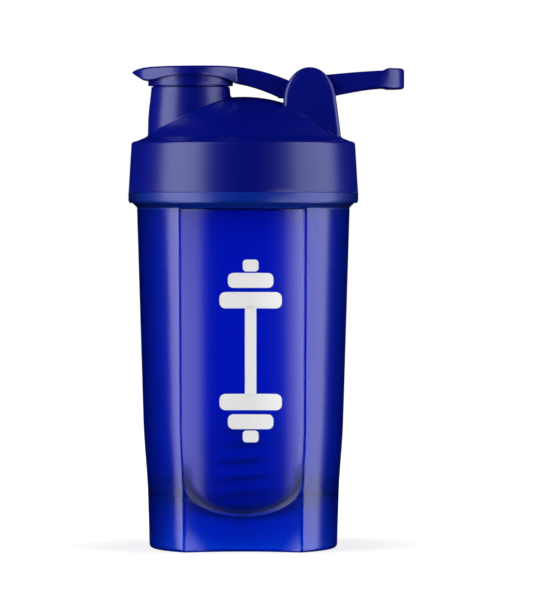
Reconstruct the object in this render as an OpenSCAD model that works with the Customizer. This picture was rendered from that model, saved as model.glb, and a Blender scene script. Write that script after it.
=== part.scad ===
// Protein shaker bottle: translucent bottle, screw lid with a flip cap over the spout,
// a carry loop on the cap's hinge, and a loose wire mixing ball.
// Millimetres. +Z up, origin at the centre of the base, spout towards -X, loop towards +X,
// grip panels towards -Y and +Y.

/* [Bottle] */
// Height of the shoulder flange's top, where the lid's edge sits
shoulder_z = 145.3; // [135:0.1:155]
// Radius of the bottle just above the foot
base_r = 38.5; // [36:0.1:41]
// Widening of the wall per millimetre of height
wall_draft = 0.030; // [0:0.001:0.04]
// Extra radius gained over the waist
waist_step = 0.95; // [0:0.05:2]
// Wall thickness of the bottle
wall = 1.9; // [1.4:0.1:2.4]
// Radius of the foot's rounded outer edge
foot_round = 1.6; // [0.5:0.1:2.5]
// Radius of the flange under the lid
flange_r = 47.15; // [46:0.05:49]
// Height of the vessel's bottom above the table, outside
bowl_z = 12.8; // [8:0.1:20]
// Radius of the vessel's rounded corner, outside
bowl_round = 16.4; // [8:0.1:20]

/* [Grip panels] */
// Radius of the concave panels
panel_r = 59; // [50:1:90]
// Distance from the axis to the panel at the base
panel_base_y = 24.8; // [24:0.1:30]
// Distance from the axis to the panel at its top
panel_top_y = 29.5; // [26:0.1:34]
// Height of the panel's top
panel_top_z = 139; // [120:1:139]

/* [Screw thread] */
// Outer radius of the neck
neck_r = 41.9; // [41:0.1:42.2]
// Height of the neck's rim
neck_top_z = 162.6; // [161:0.1:162.6]
// Rise of the thread in one turn
thread_pitch = 8; // [7:0.5:9]
// How far the thread's crest stands out
thread_depth = 1.55; // [1.2:0.05:1.6]
// Length of each thread, in turns
thread_turns = 1.3; // [1:0.05:1.3]

/* [Lid] */
// Height of the collar's lower edge
lid_z = 145.7; // [145.6:0.1:146.5]
// Outer radius of the collar at its lower edge
collar_r = 47.05; // [46.5:0.05:48]
// Outer radius of the collar at its top
collar_top_r = 45.9; // [45.5:0.05:47]
// Inner radius of the collar
collar_bore_r = 43.9; // [43.8:0.1:44.2]
// Radius of the domed top
dome_r = 56.2; // [54:0.1:60]
// Height of the dome's highest point
dome_top_z = 184.8; // [180:0.1:186]
// Wall thickness of the lid
lid_wall = 2; // [1.6:0.1:2.4]

/* [Spout] */
// Distance of the spout's axis from the bottle's axis
spout_x = 21.6; // [20:0.1:22]
// Radius of the spout at its foot
spout_r = 17.5; // [17:0.1:18]
// Radius of the spout's lip
lip_r = 15.3; // [15:0.1:15.4]
// Radius of the spout's bore
throat_r = 13.4; // [12.5:0.1:13.5]
// Height of the spout's lip
lip_z = 194.2; // [193:0.1:194.3]

/* [Hinge] */
// Distance of the hinge axis from the bottle's axis
hinge_x = 27.1; // [26:0.1:28]
// Height of the hinge axis
hinge_z = 187.6; // [187:0.1:188]
// Radius of the hinge pin
pin_r = 2; // [1.5:0.1:2.2]
// Length of the hinge pin
pin_length = 26.6; // [26:0.1:26.8]
// Distance between the ears' inner faces
ear_gap = 24; // [24:0.1:24.4]
// Width of the cap's lever
lever_width = 16; // [14:0.1:16]

/* [Flip cap] */
// Radius of the cap
cap_r = 19.3; // [18.8:0.1:20]
// Height of the cap's top
cap_top_z = 197.3; // [197:0.1:198]
// Height of the cap skirt's lower edge
skirt_z = 189.2; // [189.2:0.1:189.6]
// Outer radius of the cap's skirt
skirt_r = 17.4; // [17.2:0.1:17.8]

/* [Carry loop] */
// Radius of the loop's rounded end, seen from above
loop_r = 13; // [12.5:0.1:14]
// Thickness of the loop's grip bar
loop_bar = 7.4; // [6:0.1:8]
// Distance of the loop's end from the bottle's axis
loop_end_x = 65.9; // [62:0.1:68]

/* [Whisk ball] */
// Outer diameter of the ball
ball_d = 43; // [36:0.5:43]
// Diameter of the wire
wire_d = 1.9; // [1.5:0.1:2.2]
// Number of turns of wire from pole to pole
ball_turns = 7; // [5:1:8]
// Angle between the ball's axis and the wire's ends, which leaves the poles open
pole = 22; // [18:1:30]

/* [Hidden] */
$fn = 96;
far = 200;                            // longer than anything that is cut
running = 0.05;                       // radial clearance of what turns on the pin
waist_low_z = 22;                     // the waist widens between these two heights
waist_top_z = 52;
shoulder_low_z = 139.4;               // foot of the flange's 45 degree underside
foot_in_r = base_r - 2.4;             // inside of the skirt at the table
bowl_mid_z = bowl_z + bowl_round;     // height of the vessel corner's centre
bowl_mid_r = body_r(bowl_mid_z) - bowl_round;
thread_root = 3.2;                    // width of the thread where it leaves the wall
thread_crest = 1.8;                   // width of the thread at its crest
thread_embed = 0.5;                   // how far the thread is rooted in its wall
neck_thread_z = shoulder_z + 3.2;     // height of the neck thread's lower end
lid_thread_drop = 3.3;                // how far the lid's thread lies below the neck's
lid_thread_turn = 130;                // angle at which the lid's thread starts
neck_bore_r = neck_r - 2.2;
seat_z = 165;                         // underside of the lid over the rim
land_r = neck_bore_r - 0.5;           // ring that keeps the seal in place
land_z = 158.5;
dome_mid_z = dome_top_z - dome_r;
cap_ceiling_z = cap_top_z - 2.3;      // underside of the cap's plate
cap_bore_r = skirt_r - 1.6;
barrel_r = 4.4;                       // radius of the lever's end round the pin
eye_r = 4.7;                          // radius of the loop's eyes round the pin
ear_a = 10.7;                         // half length of the ear's rounded top
ear_b = 13.9;                         // half height of the ear's rounded top
ear_z = 182.7;                        // height of that ellipse's centre
ball_r = ball_d / 2 - wire_d / 2;     // radius of the wire's centre line
// height of the ball's centre, with its lowest turn of wire on the vessel's floor
ball_z = bowl_z + wall + ball_r * cos(pole) + wire_d / 2 + 0.1;

// ---- shared shapes ----

// Points of an arc round [x, y] from angle a to angle b
function arc(x, y, r, a, b, steps = 12) =
    [for (i = [0:steps]) let (t = a + (b - a) * i / steps) [x + r * cos(t), y + r * sin(t)]];

// Blend from 0 at a to 1 at b, level at both ends
function ease(t, a, b) = let (s = min(1, max(0, (t - a) / (b - a)))) s * s * (3 - 2 * s);

// Outer radius of the bottle's wall at height z
function body_r(z) = base_r + wall_draft * z + waist_step * ease(z, waist_low_z, waist_top_z);

// Outline of the wall between two heights, moved inwards by t: straight but for the waist
function wall_line(a, b, t = 0) =
    [for (z = concat([a], [for (w = [waist_low_z:5:waist_top_z]) if (w > a && w < b) w], [b]))
        [body_r(z) - t, z]];

// Solid of revolution from [radius, height] points
module turned(points) {
    rotate_extrude() polygon(points);
}

// A side outline in X and Z, drawn out along Y to both sides
module across(width) {
    rotate([90, 0, 0]) linear_extrude(height = width, center = true) children();
}

// Round bar along Y on the hinge axis
module on_hinge(r, width) {
    translate([hinge_x, 0, hinge_z]) rotate([90, 0, 0]) cylinder(r = r, h = width, center = true);
}

// Trapezoid ridge wound up a cylinder, fading out at both ends. A negative depth points inwards.
module thread_ridge(r, depth, z, turns, start = 0, per_turn = 48) {
    last = round(turns * per_turn);
    root = r - sign(depth) * thread_embed;
    sections = [for (i = [0:last]) let (
        turn = i / per_turn,
        angle = start + 360 * turn,
        mid = z + thread_pitch * turn,
        fade = ease(min(i, last - i), 0, per_turn / 8),
        crest = r + depth * fade - sign(depth) * (1 - fade) * thread_embed / 2,
        ring = [[root, mid - thread_root / 2], [crest, mid - thread_crest / 2],
                [crest, mid + thread_crest / 2], [root, mid + thread_root / 2]])
        [for (p = ring) [p[0] * cos(angle), p[0] * sin(angle), p[1]]]];
    skin(sections, 4, depth < 0);
}

// Closed surface through rings of the same number of points
module skin(rings, sides, flip = false) {
    last = len(rings) - 1;
    walls = [for (i = [0:last - 1], k = [0:sides - 1]) let (
        a = i * sides + k, b = i * sides + (k + 1) % sides, c = b + sides, d = a + sides)
        each [[a, b, c], [a, c, d]]];
    ends = [for (k = [1:sides - 2]) each [[0, k + 1, k],
        [last * sides, last * sides + k, last * sides + k + 1]]];
    faces = concat(walls, ends);
    polyhedron([for (ring = rings) each ring],
               flip ? [for (f = faces) [f[0], f[2], f[1]]] : faces);
}

// ---- bottle ----

// Both concave panels' cutters, moved towards the axis by t and ending at height top
module panel_scoops(t, top) {
    lean = atan((panel_top_y - panel_base_y) / panel_top_z);
    intersection() {
        for (side = [0, 180]) rotate([0, 0, side])
            translate([0, -panel_base_y - panel_r, 0]) rotate([lean, 0, 0])
                translate([0, 0, -20]) rotate([0, 0, 270])   // seam on the far side
                    cylinder(r = panel_r + t, h = far, $fn = 256);
        translate([-far, -far, -5]) cube([2 * far, 2 * far, top + 5]);
    }
}

module bottle_outside() {
    turned(concat(
        [[0, 0]],
        arc(body_r(foot_round) - foot_round, foot_round, foot_round, -90, 0, 6),
        wall_line(4, shoulder_low_z),
        [[flange_r - 0.3, shoulder_low_z + flange_r - 0.3 - body_r(shoulder_low_z)],
         [flange_r, shoulder_z - 1], [flange_r, shoulder_z - 0.3], [flange_r - 0.3, shoulder_z],
         [neck_r, shoulder_z], [neck_r, neck_top_z - 0.6], [neck_r - 0.6, neck_top_z],
         [0, neck_top_z]]));
}

module vessel_inside() {
    turned(concat(
        [[0, bowl_z + wall]],
        arc(bowl_mid_r, bowl_mid_z, bowl_round - wall, -90, 0, 10),
        wall_line(bowl_mid_z + 3, shoulder_low_z, wall),
        [[neck_bore_r, shoulder_low_z + 2.4], [neck_bore_r, neck_top_z - 0.6],
         [neck_bore_r + 0.6, neck_top_z], [neck_bore_r + 0.6, far], [0, far]]));
}

module skirt_inside() {
    meet_z = bowl_mid_z - sqrt(pow(bowl_round, 2) - pow(body_r(20) - 2.1 - bowl_mid_r, 2));
    turned(concat(
        [[0, -1], [foot_in_r, -1], [foot_in_r, 0.4], [body_r(20) - 2.1, meet_z]],
        arc(bowl_mid_r, bowl_mid_z, bowl_round,
            -asin((bowl_mid_z - meet_z) / bowl_round) - 4, -90, 8),
        [[0, bowl_z]]));
}

module bottle_body() {
    color([0.05, 0.1, 0.75, 0.6]) {
        difference() {
            bottle_outside();
            panel_scoops(0, panel_top_z);
            difference() {
                vessel_inside();
                panel_scoops(wall, panel_top_z + wall);
            }
            difference() {
                skirt_inside();
                panel_scoops(wall, bowl_mid_z);
            }
        }
        thread_ridge(neck_r, thread_depth, neck_thread_z, thread_turns);
        // gate nub under the vessel
        translate([0, 0, 5]) cylinder(r = 1, h = bowl_z - 5 + 0.5);
    }
}

// ---- lid ----

module lid_outside() {
    turned(concat(
        [[0, lid_z], [collar_r - 0.4, lid_z], [collar_r, lid_z + 0.4]],
        arc(collar_top_r - 1.6, seat_z, 1.6, 0, 66, 8),
        [[39.0, 168.75], [0, 168.75]]));
    intersection() {
        translate([0, 0, dome_mid_z]) sphere(r = dome_r, $fn = 200);
        translate([0, 0, 166]) cylinder(r = 41, h = 40);
    }
}

module lid_inside() {
    turned([[0, lid_z - 5], [collar_bore_r, lid_z - 5], [collar_bore_r, seat_z], [land_r, seat_z],
            [land_r, land_z + 0.6], [land_r - 0.6, land_z], [land_r - lid_wall, land_z],
            [land_r - lid_wall, seat_z + 1], [0, seat_z + 1]]);
    intersection() {
        translate([0, 0, dome_mid_z]) sphere(r = dome_r - lid_wall, $fn = 200);
        translate([0, 0, seat_z]) cylinder(r = land_r - lid_wall, h = 40);
    }
}

// Spout's outside, from inside the dome up to the rounded lip
module spout_outside() {
    translate([-spout_x, 0, 0])
        turned(concat(
            [[0, 160], [spout_r, 160], [spout_r, 171], [spout_r - 0.1, 175.3], [spout_r - 0.42, 179.4],
             [spout_r - 1.1, 185.1], [spout_r - 1.45, skirt_z - 0.4], [lip_r, skirt_z - 0.4]],
            arc(lip_r - 0.8, lip_z - 0.8, 0.8, 0, 90, 4),
            [[0, lip_z]]));
}

// Side outline of a hinge ear
module ear_outline() {
    polygon(concat(
        [[hinge_x - ear_a, 165], [39.9, 165], [39.5, 170]],
        [for (t = [-10:10:190]) [hinge_x + ear_a * cos(t), ear_z + ear_b * sin(t)]]));
}

// Both ears, leaning in towards the top on the outside
module ears() {
    lean = 6;
    top_y = 13.5;
    intersection() {
        across(40) ear_outline();
        rotate([90, 0, 90]) linear_extrude(height = far, center = true)
            polygon([[-top_y - 40 * tan(lean), 196.6 - 40], [-top_y, 196.6], [-top_y, 198],
                     [top_y, 198], [top_y, 196.6], [top_y + 40 * tan(lean), 196.6 - 40]]);
    }
}

module lid_shell() {
    color([0.01, 0.06, 0.48]) {
        difference() {
            union() {
                lid_outside();
                spout_outside();
                difference() {
                    ears();
                    // the space between the ears, down to the dome
                    translate([0, -ear_gap / 2, 150]) cube([60, ear_gap, 60]);
                }
            }
            lid_inside();
            translate([-spout_x, 0, 150]) cylinder(r = throat_r, h = 60);
            on_hinge(pin_r + 0.02, pin_length + 0.2);
        }
        thread_ridge(collar_bore_r, -thread_depth,
                     neck_thread_z + thread_pitch * lid_thread_turn / 360 - lid_thread_drop,
                     thread_turns, lid_thread_turn);
    }
}

module lid_seal() {
    color([0.75, 0.77, 0.8])
        turned([[land_r, neck_top_z + 0.05], [collar_bore_r - 0.25, neck_top_z + 0.05],
                [collar_bore_r - 0.25, seat_z], [land_r, seat_z]]);
}

// ---- flip cap ----

// Heights of the lever's upper and lower edge at distance x from the bottle's axis
function lever_top(x) = cap_top_z - pow(max(0, x + 9.3), 2) / (2 * 66);
function lever_low(x) = 190.95 - pow(x + 11.8, 2) / (2 * 54);

module lever_outline() {
    polygon(concat(
        [for (x = [-9.3:3:23.7]) [x, lever_top(x)]],
        [[hinge_x, hinge_z - barrel_r + 0.2], [hinge_x - 1, hinge_z - barrel_r + 0.1]],
        [for (x = [15:-3:-9]) [x, lever_low(x)]]));
}

// The lever is a channel, open below, between its two side walls
module lever_channel() {
    across(lever_width - 4)
        polygon(concat(
            [for (x = [-2:3:19]) [x, lever_top(x) - 2.4]],
            [[19, lever_low(19) - 4], [-2, lever_low(-2) - 4]]));
}

// Plate with a rounded upper edge and a lower edge that arches up at the sides
module cap_plate() {
    arch_r = 94;
    arch_top_z = 193.3;
    difference() {
        translate([-spout_x, 0, 0])
            turned(concat(
                [[0, 191.2], [cap_r - 0.4, 191.2], [cap_r, 191.6]],
                arc(cap_r - 1.4, cap_top_z - 1.6, 1.4, 0, 86, 6),
                [[cap_r - 6, cap_top_z - 0.05], [0, cap_top_z]]));
        translate([-spout_x, 0, arch_top_z - arch_r])
            rotate([90, 0, 0]) cylinder(r = arch_r, h = 60, center = true, $fn = 256);
    }
}

// Tip that the thumb pushes up, pointed seen from the side and round seen from above
module thumb_tip() {
    intersection() {
        across(40)
            polygon([[-34, cap_top_z - 0.2], [-41.6, cap_top_z - 1], [-44, cap_top_z - 1.7],
                     [-45.5, cap_top_z - 2.7], [-41, 191.7], [-34, 192.6]]);
        translate([-45.5 + 14, 0, 180]) cylinder(r = 14, h = 30);
    }
}

module flip_cap() {
    color([0.01, 0.06, 0.45])
        difference() {
            union() {
                cap_plate();
                thumb_tip();
                translate([-spout_x, 0, skirt_z]) cylinder(r = skirt_r, h = cap_top_z - 1 - skirt_z);
                difference() {
                    union() {
                        across(lever_width) lever_outline();
                        on_hinge(barrel_r, lever_width);
                    }
                    lever_channel();
                }
            }
            translate([-spout_x, 0, skirt_z - 5]) cylinder(r = cap_bore_r, h = cap_ceiling_z - skirt_z + 5);
            on_hinge(pin_r + running, lever_width + 2);
        }
}

// Soft plug: a disc under the cap's plate with a tapered lip that goes into the throat
module spout_plug() {
    disc_z = lip_z + 0.25;
    low_z = skirt_z + 0.2;
    color([0.8, 0.82, 0.85])
        translate([-spout_x, 0, 0])
            turned([[0, cap_ceiling_z], [cap_bore_r - 0.1, cap_ceiling_z], [cap_bore_r - 0.1, disc_z],
                    [throat_r - 0.25, disc_z], [throat_r - 0.75, low_z], [throat_r - 2.4, low_z],
                    [throat_r - 2, disc_z - 1.2], [0, disc_z - 1.2]]);
}

module hinge_pin() {
    color([0.7, 0.72, 0.75]) on_hinge(pin_r, pin_length);
}

// ---- carry loop ----

loop_mid_x = loop_end_x - loop_r;     // centre of the rounded end
hole_r = loop_r - 4.4;
hole_mid_x = loop_end_x - loop_bar - hole_r;

// Side outline: eyes, arms that thin out, and a thicker grip bar
module loop_side() {
    translate([hinge_x, hinge_z]) circle(r = eye_r);
    polygon([[hinge_x, hinge_z - eye_r + 0.1], [39.6, 185.7], [56.8, 188.3], [58.5, 187.9],
             [loop_end_x - 1.4, 187.8], [loop_end_x, 189.2], [loop_end_x, 194.9],
             [loop_end_x - 1.4, 196.3], [58.5, 196.1], [56.8, 195.3], [39.6, 194.1],
             [hinge_x, hinge_z + eye_r - 0.1]]);
}

// Outline seen from above: narrow between the ears, wider past them, round at the end
module loop_plan() {
    narrow = ear_gap / 2 - 0.3;
    difference() {
        union() {
            polygon([[hinge_x - 8, -narrow], [hinge_x + 14, -narrow], [hinge_x + 18, -loop_r],
                     [loop_mid_x, -loop_r], [loop_mid_x, loop_r], [hinge_x + 18, loop_r],
                     [hinge_x + 14, narrow], [hinge_x - 8, narrow]]);
            translate([loop_mid_x, 0]) circle(r = loop_r);
        }
        polygon([[0, -lever_width / 2 - 0.3], [hinge_x + 14, -lever_width / 2 - 0.3],
                 [hinge_x + 18, -hole_r], [hole_mid_x, -hole_r], [hole_mid_x, hole_r],
                 [hinge_x + 18, hole_r], [hinge_x + 14, lever_width / 2 + 0.3],
                 [0, lever_width / 2 + 0.3]]);
        translate([hole_mid_x, 0]) circle(r = hole_r);
    }
}

module carry_loop() {
    color([0.02, 0.08, 0.5])
        difference() {
            intersection() {
                across(60) loop_side();
                translate([0, 0, 170]) linear_extrude(height = 40) loop_plan();
            }
            on_hinge(pin_r + running, ear_gap + 2);
        }
}

// ---- whisk ball ----

// Centre line of the wire at t from 0 to 1, wound from one open pole to the other
function wire_at(t) = let (polar = pole + (180 - 2 * pole) * t, turn = 360 * ball_turns * t)
    ball_r * [sin(polar) * cos(turn), sin(polar) * sin(turn), -cos(polar)];

function unit(v) = v / norm(v);

module whisk_ball() {
    sides = 6;
    steps = 24 * ball_turns;
    rings = [for (i = [0:steps]) let (
        t = i / steps,
        along = unit(wire_at(t + 0.001) - wire_at(t - 0.001)),
        out = unit(wire_at(t)),
        side = unit(cross(along, out)))
        [for (k = [0:sides - 1]) let (a = 360 * k / sides)
            wire_at(t) + wire_d / 2 * (cos(a) * side + sin(a) * cross(side, along))]];
    color([0.75, 0.76, 0.78]) translate([0, 0, ball_z]) skin(rings, sides);
}

bottle_body();
lid_shell();
lid_seal();
flip_cap();
spout_plug();
hinge_pin();
carry_loop();
whisk_ball();
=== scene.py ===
import math

import bmesh
import bpy
import numpy as np
from mathutils import Matrix, Vector


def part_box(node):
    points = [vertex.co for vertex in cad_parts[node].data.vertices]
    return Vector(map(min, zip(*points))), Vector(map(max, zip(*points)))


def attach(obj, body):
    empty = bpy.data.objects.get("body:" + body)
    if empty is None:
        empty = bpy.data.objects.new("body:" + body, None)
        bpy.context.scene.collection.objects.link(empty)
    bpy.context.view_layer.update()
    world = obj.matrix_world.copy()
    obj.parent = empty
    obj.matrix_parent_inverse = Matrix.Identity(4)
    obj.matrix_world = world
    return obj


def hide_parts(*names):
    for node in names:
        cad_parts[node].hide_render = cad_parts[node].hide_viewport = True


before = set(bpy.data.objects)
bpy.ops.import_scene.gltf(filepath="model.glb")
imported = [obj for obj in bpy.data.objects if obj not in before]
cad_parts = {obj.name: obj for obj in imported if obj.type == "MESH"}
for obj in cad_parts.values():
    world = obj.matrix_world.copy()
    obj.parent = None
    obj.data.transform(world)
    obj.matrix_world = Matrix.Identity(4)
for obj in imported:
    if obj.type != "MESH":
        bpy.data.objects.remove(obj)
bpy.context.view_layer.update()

# ---------------------------------------------------------------- sizes, in millimetres

MM = 0.001


def node_box(node):
    """Lowest and highest corner of a node of the frame, in millimetres."""
    low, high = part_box(node)
    return np.array(low) / MM, np.array(high) / MM


bottle_high = node_box("bottle_body")[1]
lid_low, lid_high = node_box("lid_shell")
cap_low, cap_high = node_box("flip_cap")
plug_low, plug_high = node_box("spout_plug")
pin_low, pin_high = node_box("hinge_pin")
loop_high = node_box("carry_loop")[1]
seal_low, seal_high = node_box("lid_seal")
ball_low, ball_high = node_box("whisk_ball")

# bottle
WALL = 1.9
FOOT_R = 38.5
FOOT_ROUND = 1.6
WALL_DRAFT = 0.030
WAIST_LOW, WAIST_HIGH, WAIST_STEP = 22.0, 52.0, 0.95
FLANGE_R = float(bottle_high[0])
SHOULDER_FOOT_Z = 139.4
SHOULDER_Z = 145.3
NECK_R = 41.9
NECK_BORE_R = NECK_R - 2.2
NECK_TOP_Z = float(bottle_high[2])
BOWL_Z = 12.8
BOWL_TOP_Z = 33.8
BOWL_POWER = 2.4
PANEL_R = 59.0
PANEL_FOOT_Y, PANEL_TOP_Y, PANEL_TOP_Z = 24.8, 29.5, 139.0
# U in which the vessel's rounded bottom meets a panel: half its width, and its curve's top and drop
U_HALF, U_TOP_Z, U_DROP = 23.8, 31.0, 16.0
THREAD_PITCH, THREAD_DEPTH, THREAD_TURNS = 8.0, 1.55, 1.3
THREAD_CREST, THREAD_FOOT, THREAD_FADE = 0.85, 1.65, 0.12
NECK_THREAD_Z = SHOULDER_Z + 3.2
LID_THREAD_TURN = 130.0
LID_THREAD_Z = NECK_THREAD_Z + THREAD_PITCH * LID_THREAD_TURN / 360 - 3.3

# lid
LID_Z = float(lid_low[2])
COLLAR_R = float(lid_high[0])
COLLAR_TOP_R = 45.9
COLLAR_BORE_R = 43.9
EDGE_R = 0.2
CORNER_R, CORNER_Z = 1.6, 164.9
SEAT_Z = 165.0
LAND_R = NECK_BORE_R - 0.5
LAND_Z = 158.5
LID_WALL = 2.0
DOME_R, DOME_TOP_Z = 56.2, 184.8
DOME_MID_Z = DOME_TOP_Z - DOME_R
SPOUT_X = float(plug_low[0] + plug_high[0]) / 2
LIP_R, THROAT_R = 15.3, 13.4
LIP_Z = 194.2

# hinge, cap and loop
HINGE_X = float(pin_low[0] + pin_high[0]) / 2
HINGE_Z = float(pin_low[2] + pin_high[2]) / 2
PIN_R = float(pin_high[0] - pin_low[0]) / 2
PIN_HALF = float(pin_high[1])
EAR_GAP = 24.0
LEVER_HALF = 8.0
CAP_R = float(cap_high[1])
CAP_TOP_Z = float(cap_high[2])
SKIRT_R, SKIRT_Z = 17.4, 189.2
CAP_TIP_X = float(cap_low[0])
BARREL_R = 4.4
LOOP_R = float(loop_high[1])
LOOP_END_X = float(loop_high[0])
LOOP_BAR = 7.4
EYE_R = 4.7


# ---------------------------------------------------------------- geometry helpers

def ease(t, a, b):
    """0 at a, 1 at b, level at both ends."""
    s = np.clip((np.asarray(t, float) - a) / (b - a), 0, 1)
    return s * s * (3 - 2 * s)


def soft_min(a, b, width):
    """The smaller of two surfaces, rounded where they cross."""
    near = np.maximum(width - np.abs(a - b), 0) / width
    return np.minimum(a, b) - near * near * width / 4


def soft_max(a, b, width):
    """The larger of two surfaces, rounded where they cross."""
    return -soft_min(-a, -b, width)


def through(points, x):
    """Smooth height at x through a few given (x, height) points."""
    px, pz = np.array(points, float).T
    slope = np.gradient(pz, px)
    x = np.clip(np.asarray(x, float), px[0], px[-1])
    i = np.clip(np.searchsorted(px, x) - 1, 0, len(px) - 2)
    span = px[i + 1] - px[i]
    t = (x - px[i]) / span
    return ((1 + 2 * t) * (1 - t) ** 2 * pz[i] + t * (1 - t) ** 2 * span * slope[i]
            + t * t * (3 - 2 * t) * pz[i + 1] + t * t * (t - 1) * span * slope[i + 1])


def arc(x, y, r, start, end, steps):
    """Points of an arc, angles in degrees."""
    t = np.radians(np.linspace(start, end, steps + 1))
    return np.stack([x + r * np.cos(t), y + r * np.sin(t)], 1)


def new_object(name, mesh):
    piece = bpy.data.objects.new(name, mesh)
    bpy.context.scene.collection.objects.link(piece)
    return piece


def smooth(mesh, sharp_over=32):
    """Smooth shading that keeps edges sharper than an angle."""
    mesh.polygons.foreach_set("use_smooth", [True] * len(mesh.polygons))
    mesh.set_sharp_from_angle(angle=math.radians(sharp_over))


def skin(name, rings, closed_path=False, sharp_over=32):
    """Mesh object through rings of points, in millimetres. The first and last rings are closed with
    a face, or joined to each other where the path comes back to its start."""
    rings = np.asarray(rings, float)
    count, sides = rings.shape[:2]
    mesh = bpy.data.meshes.new(name)
    faces = []
    for i in range(count if closed_path else count - 1):
        a, b = i * sides, (i + 1) % count * sides
        for k in range(sides):
            n = (k + 1) % sides
            faces.append((a + k, a + n, b + n, b + k))
    if not closed_path:
        faces.append(tuple(range(sides))[::-1])
        faces.append(tuple((count - 1) * sides + k for k in range(sides)))
    mesh.from_pydata((rings.reshape(-1, 3) * MM).tolist(), [], faces)
    tidy_up(mesh)
    smooth(mesh, sharp_over)
    return new_object(name, mesh)


def tidy_up(mesh, weld=2e-6):
    """Welds doubled points, drops empty faces and turns every face outwards."""
    shape = bmesh.new()
    shape.from_mesh(mesh)
    bmesh.ops.remove_doubles(shape, verts=shape.verts, dist=weld)
    bmesh.ops.dissolve_degenerate(shape, dist=weld, edges=shape.edges)
    bmesh.ops.recalc_face_normals(shape, faces=shape.faces)
    shape.to_mesh(mesh)
    shape.free()


def turned(name, profile, centre=(0, 0), sides=192, sharp_over=32):
    """Closed profile of (radius, height) points turned round an upright axis."""
    profile = np.asarray(profile, float)
    t = np.linspace(0, 2 * math.pi, sides, endpoint=False)
    rings = np.stack([centre[0] + np.outer(profile[:, 0], np.cos(t)),
                      centre[1] + np.outer(profile[:, 0], np.sin(t)),
                      np.repeat(profile[:, 1:2], sides, 1)], 2)
    return skin(name, rings, closed_path=True, sharp_over=sharp_over)


def cut(piece, *tools):
    """Cuts other objects' solids out of a piece, and removes those objects."""
    for tool in tools:
        step = piece.modifiers.new("cut", "BOOLEAN")
        step.operation = "DIFFERENCE"
        step.solver = "EXACT"
        step.object = tool
        settle(piece)
        bpy.data.objects.remove(tool)
    return piece


def settle(piece):
    """Turns a piece's modifiers into plain mesh."""
    view = bpy.context.evaluated_depsgraph_get()
    mesh = bpy.data.meshes.new_from_object(piece.evaluated_get(view), depsgraph=view)
    piece.modifiers.clear()
    piece.data = mesh
    return piece


def merged(name, *parts):
    """One object from several closed shells of one moulding."""
    shape = bmesh.new()
    for part in parts:
        shape.from_mesh(part.data)
        bpy.data.objects.remove(part)
    mesh = bpy.data.meshes.new(name)
    shape.to_mesh(mesh)
    shape.free()
    return new_object(name, mesh)


def fit(piece, body, finishes, *nodes, slot):
    """Gives a piece its finishes, and puts it on its body in place of its frame nodes."""
    which = [face.material_index for face in piece.data.polygons]
    piece.data.materials.clear()
    for finish in finishes:
        piece.data.materials.append(finish)
    piece.data.polygons.foreach_set("material_index", [min(i, len(finishes) - 1) for i in which])
    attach(piece, body)
    if nodes:
        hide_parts(*nodes)
    return piece


# ---------------------------------------------------------------- finishes

class Signal:
    """A socket of a node tree, so that node maths reads as an expression."""

    def __init__(self, wiring, socket):
        self.wiring, self.socket = wiring, socket

    def maths(self, operation, *values):
        return self.wiring.add("ShaderNodeMath", {"operation": operation}, dict(enumerate(values)))

    def __add__(self, other):
        return self.maths("ADD", self, other)

    def __sub__(self, other):
        return self.maths("SUBTRACT", self, other)

    def __rsub__(self, other):
        return self.maths("SUBTRACT", other, self)

    def __mul__(self, other):
        return self.maths("MULTIPLY", self, other)

    __radd__, __rmul__ = __add__, __mul__

    def root(self):
        return self.maths("SQRT", self)

    def sine(self):
        return self.maths("SINE", self)

    def cosine(self):
        return self.maths("COSINE", self)

    def at_least(self, other):
        """The larger of the two."""
        return self.maths("MAXIMUM", self, other)

    def between(self, low, high):
        """0 below low, 1 above high."""
        return self.wiring.add("ShaderNodeMapRange", {"interpolation_type": "SMOOTHSTEP"},
                               {"Value": self, "From Min": low, "From Max": high})


class Wiring:
    """A node tree that starts empty."""

    def __init__(self, tree):
        self.nodes, self.links = tree.nodes, tree.links
        self.nodes.clear()

    def add(self, kind, settings=None, inputs=None, output=0):
        """One node: its settings first, then the values or signals of its sockets."""
        node = self.nodes.new(kind)
        for key, value in (settings or {}).items():
            setattr(node, key, value)
        for key, value in (inputs or {}).items():
            if isinstance(value, Signal):
                self.links.new(value.socket, node.inputs[key])
            else:
                node.inputs[key].default_value = value
        return Signal(self, node.outputs[output])

    def end(self, kind, signal):
        """The tree's output node."""
        self.links.new(signal.socket, self.nodes.new(kind).inputs[0])


class Finish(Wiring):
    """A material and its nodes, on object coordinates."""

    def __init__(self, name):
        self.material = bpy.data.materials.new(name)
        self.material.use_nodes = True
        super().__init__(self.material.node_tree)

    def place(self):
        return self.add("ShaderNodeTexCoord", output="Object")

    def grain(self, size_mm, detail=3.0, stretch=(1, 1, 1)):
        """Noise with spots of about this size."""
        spots = self.add("ShaderNodeMapping", inputs={"Vector": self.place(), "Scale": stretch})
        return self.add("ShaderNodeTexNoise", inputs={
            "Vector": spots, "Scale": 1 / (size_mm * MM), "Detail": detail})

    def mix(self, factor, a, b):
        """Colour between a and b."""
        return self.add("ShaderNodeMix", {"data_type": "RGBA"}, {0: factor, 6: a, 7: b}, output=2)

    def relief(self, height, depth_mm, strength=1.0):
        return self.add("ShaderNodeBump", inputs={
            "Height": height, "Distance": depth_mm * MM, "Strength": strength})

    def plastic(self, **inputs):
        """The shader itself, joined to the output."""
        named = {key.replace("_", " ").title().replace("Ior", "IOR"): value
                 for key, value in inputs.items()}
        self.end("ShaderNodeOutputMaterial", self.add("ShaderNodeBsdfPrincipled", inputs=named))
        return self.material


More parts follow.
